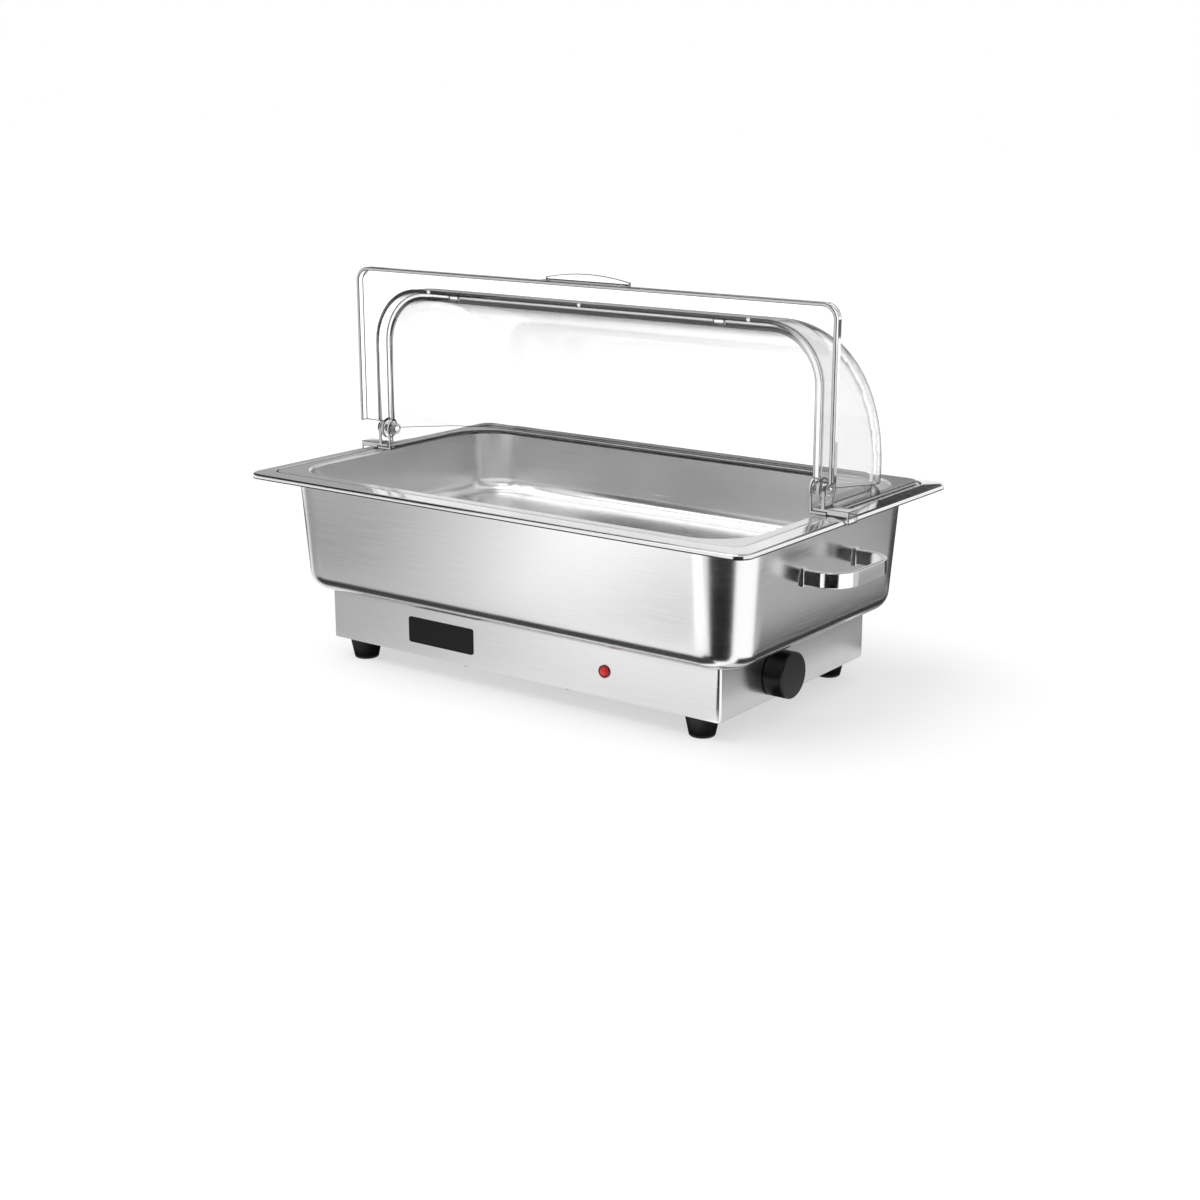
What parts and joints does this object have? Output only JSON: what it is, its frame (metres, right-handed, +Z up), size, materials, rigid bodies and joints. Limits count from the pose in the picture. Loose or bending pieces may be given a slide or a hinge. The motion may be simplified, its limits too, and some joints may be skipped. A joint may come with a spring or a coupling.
{
  "type": "electric chafing dish",
  "caption": "Electric chafing dish: steel food pan in a heated water pan on a boxed base with thermostat knob and feet, under a clear roll-top cover.",
  "frame": {"origin": "on the table under the middle of the dish", "axes": "+X along the long side towards the knob, +Y to the back, +Z up"},
  "size_m": [0.599, 0.359, 0.3777],
  "materials": {
    "brushed_steel": "stainless sheet, brushed along the wall",
    "satin_steel": "stainless sheet, satin",
    "polished_steel": "stainless strap, polished",
    "zinc_steel": "zinc plated",
    "element_steel": "heat-darkened tube",
    "aluminium": "mill finish",
    "copper": "drawn copper",
    "brass": "turned",
    "black_plastic": "moulded, satin black",
    "ivory_plastic": "moulded",
    "pin_plastic": "turned, translucent white",
    "black_rubber": "moulded, matt",
    "red_lens": "moulded, clear red",
    "fibre_mat": "ceramic fibre felt",
    "clear_plastic": "clear moulded polycarbonate"
  },
  "bodies": {
    "base": {"base_housing": "brushed_steel", "bottom_plate": "brushed_steel", "bottom_screws": "zinc_steel", "rubber_feet": "black_rubber", "foot_screws": "zinc_steel", "foot_nuts": "zinc_steel", "front_plate": "black_plastic", "pilot_lamp_lens": "red_lens", "pilot_lamp_body": "black_plastic", "lamp_nut": "black_plastic", "cord_gland": "black_plastic", "gland_nut": "black_plastic", "terminal_block": "ivory_plastic", "terminal_screws": "brass", "heater_plate": "aluminium", "heating_element": "element_steel", "element_clamps": "zinc_steel", "clamp_screws": "zinc_steel", "thermal_cutout": "black_plastic", "insulation_mat": "fibre_mat", "heat_shield": "aluminium", "pan_studs": "zinc_steel", "stud_spacers": "zinc_steel", "stud_nuts": "zinc_steel", "thermostat_body": "ivory_plastic", "thermostat_screws": "zinc_steel", "thermostat_bulb": "copper", "capillary_tube": "copper", "bulb_clips": "zinc_steel", "water_pan": "brushed_steel", "handle_left": "polished_steel", "handle_right": "polished_steel"},
    "knob": {"control_knob": "black_plastic", "thermostat_spindle": "zinc_steel"},
    "food_pan": {"food_pan": "satin_steel"},
    "cover": {"rear_shell": "clear_plastic", "hinge_bracket_left": "clear_plastic", "hinge_bracket_right": "clear_plastic", "bracket_screws": "zinc_steel", "hinge_pins": "pin_plastic", "pin_caps": "pin_plastic", "hinge_spacers": "pin_plastic"},
    "front_shell": {"front_shell": "clear_plastic", "cover_bumpers": "pin_plastic"}
  },
  "joints": [
    {"name": "knob_turn", "type": "hinge", "parent": "base", "child": "knob", "pos_m": [0.2273, -0.036, 0.0445], "axis": [1, 0, 0], "range_deg": [-270, 0]},
    {"name": "food_pan_lift", "type": "slide", "parent": "base", "child": "food_pan", "axis": [0, 0, 1], "range_m": [0, 0.12]},
    {"name": "cover_lift", "type": "slide", "parent": "food_pan", "child": "cover", "axis": [0, 0, 1], "range_m": [0, 0.06]},
    {"name": "cover_roll", "type": "hinge", "parent": "cover", "child": "front_shell", "pos_m": [0, -0.008, 0.208], "axis": [1, 0, 0], "range_deg": [0, 90]}
  ]
}
